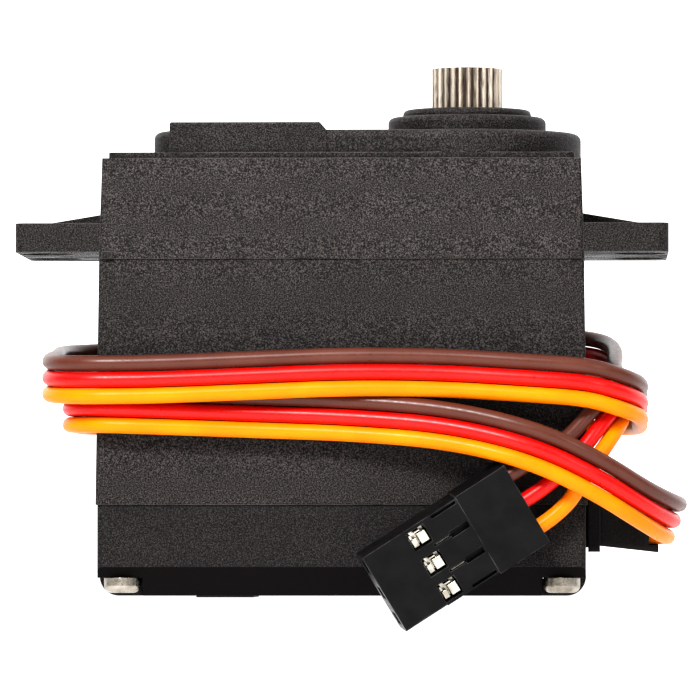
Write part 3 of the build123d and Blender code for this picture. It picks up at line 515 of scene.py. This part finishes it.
def spark_plastic(name, dark, light, roughness=0.5, grain=0.00011, depth=0.00005):
    """Moulded plastic with a fine spark-eroded grain, smoother where a face leans or looks down. Painted
    shade darkens faces that don't lean up, faces that lean down, and corners and seams, and a painted
    highlight lightens its edges.
    """
    shader = Shader(name)
    fine = shader.noise(grain, 3.0, rough=0.7)
    broad = shader.noise(0.005, 3.0)
    under = shader.facing(-0.97, -0.99)
    leaning = shader.facing(-0.1, -0.35)
    # Painted shade: faces that stand upright or lean down are darker than faces that lean up, so the top
    # looks lighter than the middle.
    tilt_light_mask = shader.facing(-0.012, 0.03)
    streaks = shader.noise(0.0005, 3.0, (12, 0.6, 1))

    shade = shader.ramp(broad, 0.3, 0.7, grey(0.8), grey(1.0))
    tilt_painted_shade = shader.mix(tilt_light_mask, grey(0.62), grey(1.0))
    grain_and_painted_light = shader.tint(shader.tint(shader.ramp(fine, 0.46, 0.68, dark, light), shade), tilt_painted_shade)
    # Painted shade in corners and seams.
    grain_and_painted_light = shader.tint(grain_and_painted_light, shader.painted_crevice_shade(0.0004))
    # Painted highlight: a lighter colour along sharp edges, uneven along them.
    painted_light_share = shader.maths("MULTIPLY", shader.edges(EDGE_HIGHLIGHT_REACH), shader.spread(broad, 0.35, 0.6, 0.15, 0.8))
    grain_and_painted_light = shader.mix(painted_light_share, grain_and_painted_light, scaled(light, 1.3))

    rough = shader.spread(fine, 0.3, 0.7, roughness - 0.1, roughness + 0.1)
    shiny = shader.maths("MULTIPLY", under, shader.spread(streaks, 0.5, 0.58, 0.0, 1.0))
    smoother = shader.maths("MULTIPLY", shiny, roughness - 0.2)
    shinier = shader.maths("MULTIPLY", shiny, 0.2)
    gloss = shader.spread(leaning, 0, 1, 0.11, 0.015)
    # Faces that lean down get a darker colour, painted shade, and less gloss.
    shader.set(
        Base_Color=shader.mix(leaning, grain_and_painted_light, scaled(dark, 2)),
        Roughness=shader.maths("SUBTRACT", rough, smoother),
        Specular_IOR_Level=shader.maths("ADD", gloss, shinier),
    )
    shader.bump(fine, depth, 0.9, edge=0.00022)
    return shader.material


def smooth_plastic(name, colour, roughness, wear=0.06, gloss=0.4):
    """Smooth moulded plastic, patchy and lightly scratched, with a painted highlight along its edges."""
    shader = Shader(name)
    broad = shader.noise(0.0016, 3.0)
    scratches = shader.noise(0.0004, 4.0, (5, 1, 1))
    # Painted highlight: a lighter colour along sharp edges, uneven along them.
    painted_light_share = shader.maths("MULTIPLY", shader.edges(EDGE_HIGHLIGHT_REACH), shader.spread(broad, 0.4, 0.6, 0.1, 0.8))
    patchy = shader.ramp(broad, 0.35, 0.65, scaled(colour, 0.6), colour)
    edge_highlight_colour = tuple(part + 0.07 for part in colour)
    shader.set(
        Base_Color=shader.mix(painted_light_share, patchy, edge_highlight_colour),
        Roughness=shader.spread(scratches, 0.3, 0.7, roughness, roughness + wear),
        Specular_IOR_Level=gloss,
    )
    shader.bump(scratches, 0.00002, 0.25, edge=0.00006)
    return shader.material


def wire_plastic(name, colour, pale, gloss=0.3):
    """Soft shiny wire insulation, a little paler here and there."""
    shader = Shader(name)
    broad = shader.noise(0.004, 3.0)
    fine = shader.noise(0.0003, 3.0)
    shader.set(
        Base_Color=shader.ramp(broad, 0.4, 0.8, colour, pale),
        Roughness=shader.spread(fine, 0.3, 0.7, 0.26, 0.4),
        Specular_IOR_Level=gloss,
    )
    shader.bump(shader.noise(0.0012, 2.0), 0.00002, 0.4)
    return shader.material


def metal(name, colour, dark, roughness, stretch=(1, 1, 1), grain=0.0002, depth=0.000006):
    """Worked metal: marks drawn out along the way it was cut, with faint stains."""
    shader = Shader(name)
    marks = shader.noise(grain, 4.0, stretch)
    stains = shader.noise(0.0011, 3.0)
    shader.set(
        Base_Color=shader.ramp(stains, 0.35, 0.65, dark, colour),
        Metallic=1.0,
        Roughness=shader.spread(marks, 0.3, 0.7, roughness, roughness + 0.18),
    )
    shader.bump(marks, depth, 0.6, edge=0.00005)
    return shader.material


def spline_metal(name):
    """The output shaft: cut steel, with painted shade in the roots of its teeth."""
    shader = Shader(name)
    marks = shader.noise(0.00018, 4.0, (1, 1, 7))
    # Painted shade: the teeth are dark and warm at their roots and bare at their tips.
    crest = shader.off_axis(OUTPUT_X, TOOTH_ROOT, TOOTH_TIP)
    painted_light_share = shader.maths("ADD", crest, shader.spread(marks, 0.3, 0.7, -0.25, 0.25))
    shader.set(
        Base_Color=shader.ramp(painted_light_share, 0.2, 0.9, (0.03, 0.019, 0.013), (0.54, 0.47, 0.39)),
        Metallic=shader.spread(painted_light_share, 0.1, 0.5, 0.3, 1.0),
        Roughness=shader.spread(marks, 0.3, 0.7, 0.3, 0.5),
    )
    shader.bump(marks, 0.00001, 0.6)
    return shader.material


def circuit_board(name):
    """Green solder mask over faint copper tracks."""
    shader = Shader(name)
    tracks = shader.noise(0.0016, 1.0, (4, 1, 1))
    shader.set(
        Base_Color=shader.ramp(tracks, 0.48, 0.52, (0.01, 0.12, 0.05), (0.03, 0.22, 0.09)),
        Roughness=0.35,
    )
    shader.bump(tracks, 0.00002, 0.5)
    return shader.material


# The material of each slot in the record. Colours are linear, and a pair is the two ends of a range.
MATERIALS = {
    "case_plastic": spark_plastic("case_plastic", (0.0035, 0.003, 0.0029), (0.112, 0.097, 0.093)),
    # The cover's plastic is the case's made darker: painted shade for the less lit bottom of the case.
    "cover_plastic": spark_plastic("cover_plastic", (0.003, 0.0026, 0.0025), (0.072, 0.063, 0.06)),
    "screw_steel": metal("screw_steel", (0.44, 0.4, 0.345), (0.22, 0.195, 0.16), 0.2),
    "steel": metal("steel", (0.62, 0.62, 0.62), (0.5, 0.5, 0.5), 0.2),
    "bearing_steel": metal("bearing_steel", (0.75, 0.75, 0.76), (0.65, 0.65, 0.66), 0.12),
    "seal_rubber": smooth_plastic("seal_rubber", (0.018, 0.018, 0.018), 0.6),
    "brass": metal("brass", (0.8, 0.6, 0.27), (0.62, 0.44, 0.18), 0.25),
    "motor_steel": metal("motor_steel", (0.66, 0.67, 0.68), (0.52, 0.53, 0.54), 0.28, (1, 1, 8)),
    "magnet": smooth_plastic("magnet", (0.05, 0.048, 0.046), 0.5),
    "end_cap_plastic": smooth_plastic("end_cap_plastic", (0.035, 0.035, 0.037), 0.4),
    "copper": metal("copper", (0.82, 0.48, 0.32), (0.6, 0.32, 0.2), 0.25),
    "pot_plastic": smooth_plastic("pot_plastic", (0.03, 0.07, 0.045), 0.4),
    "board": circuit_board("board"),
    "chip": smooth_plastic("chip", (0.02, 0.02, 0.021), 0.45),
    "capacitor": smooth_plastic("capacitor", (0.55, 0.33, 0.08), 0.4),
    "relief_rubber": spark_plastic("relief_rubber", (0.008, 0.007, 0.007), (0.03, 0.026, 0.026), 0.55),
    "wire_brown": wire_plastic("wire_brown", (0.085, 0.021, 0.011), (0.11, 0.032, 0.019)),
    "wire_red": wire_plastic("wire_red", (0.55, 0.001, 0.0), (0.68, 0.006, 0.003)),
    "wire_yellow": wire_plastic("wire_yellow", (0.85, 0.2, 0.0), (0.9, 0.25, 0.0), 0.12),
    "connector_plastic": smooth_plastic("connector_plastic", (0.007, 0.0066, 0.0068), 0.24, 0.16, 0.09),
    "contact_tin": metal("contact_tin", (0.7, 0.66, 0.58), (0.34, 0.31, 0.26), 0.2, grain=0.0001),
    "gear_steel": metal("gear_steel", (0.58, 0.56, 0.52), (0.42, 0.4, 0.36), 0.25),
    "output_steel": spline_metal("output_steel"),
}

for part in frame["record"]["subparts"]:
    thing = bpy.data.objects.get(part["node"])
    if thing is not None and thing.type == "MESH":
        thing.data.materials.clear()
        thing.data.materials.append(MATERIALS[part["material_slot"]])
for thing, slot in (
    (wires["wire_brown"], "wire_brown"),
    (wires["wire_red"], "wire_red"),
    (wires["wire_yellow"], "wire_yellow"),
    (housing, "connector_plastic"),
    (contacts, "contact_tin"),
):
    thing.data.materials.append(MATERIALS[slot])

# ---- floor, surroundings and lights ----
FLOOR_Z = -0.06
FLOOR_HALF_WIDTH = 12
shape = bmesh.new()
bmesh.ops.create_grid(shape, x_segments=1, y_segments=1, size=FLOOR_HALF_WIDTH)
floor_mesh = bpy.data.meshes.new("floor")
shape.to_mesh(floor_mesh)
shape.free()
floor = link("floor", floor_mesh)
floor.location = (0, 0, FLOOR_Z)
floor_shader = Shader("floor")
floor_shader.set(Base_Color=grey(0.98), Roughness=1.0, Specular_IOR_Level=0.0)
floor_mesh.materials.append(floor_shader.material)

# White behind and above the case, and dim in front, where the soft boxes do the work. Each range is
# of one part of the direction looked in, and the brightness changes smoothly across it.
BACK_LEVEL, FRONT_LEVEL, TOP_LEVEL = 1.7, 0.22, 1.0
BACK_RANGE, TOP_RANGE = (0.25, 0.5), (0.3, 0.6)
world = bpy.data.worlds.new("studio")
bpy.context.scene.world = world
world.use_nodes = True
sky = world.node_tree


def sky_level(source, between, level):
    """Brightness from the front's to `level` as one part of the direction crosses a range."""
    node = sky.nodes.new("ShaderNodeMapRange")
    node.interpolation_type = "SMOOTHSTEP"
    low, high = between
    for name, value in (("From Min", low), ("From Max", high), ("To Min", FRONT_LEVEL), ("To Max", level)):
        node.inputs[name].default_value = value
    sky.links.new(source, node.inputs["Value"])
    return node.outputs["Result"]


heading = sky.nodes.new("ShaderNodeSeparateXYZ")
sky.links.new(sky.nodes.new("ShaderNodeTexCoord").outputs["Generated"], heading.inputs["Vector"])
brighter = sky.nodes.new("ShaderNodeMath")
brighter.operation = "MAXIMUM"
sky.links.new(sky_level(heading.outputs["Y"], BACK_RANGE, BACK_LEVEL), brighter.inputs[0])
sky.links.new(sky_level(heading.outputs["Z"], TOP_RANGE, TOP_LEVEL), brighter.inputs[1])
sky.nodes["Background"].inputs["Color"].default_value = (1, 1, 1, 1)
sky.links.new(brighter.outputs["Value"], sky.nodes["Background"].inputs["Strength"])


LIGHT_AIM = (0, 0, -0.005)


def soft_light(name, place, size, power):
    """A square soft box aimed at the case, with its size in metres and its power in watts."""
    data = bpy.data.lights.new(name, "AREA")
    data.shape = "SQUARE"
    data.size = size
    data.energy = power
    aim(link(name, data), place, LIGHT_AIM)


soft_light("key", place=(-0.1, -0.32, 0.22), size=0.1, power=2.0)
soft_light("side", place=(0.3, -0.3, 0.12), size=0.1, power=0.3)
bpy.context.scene.view_settings.view_transform = "Standard"
bpy.context.scene.view_settings.look = "Medium High Contrast"
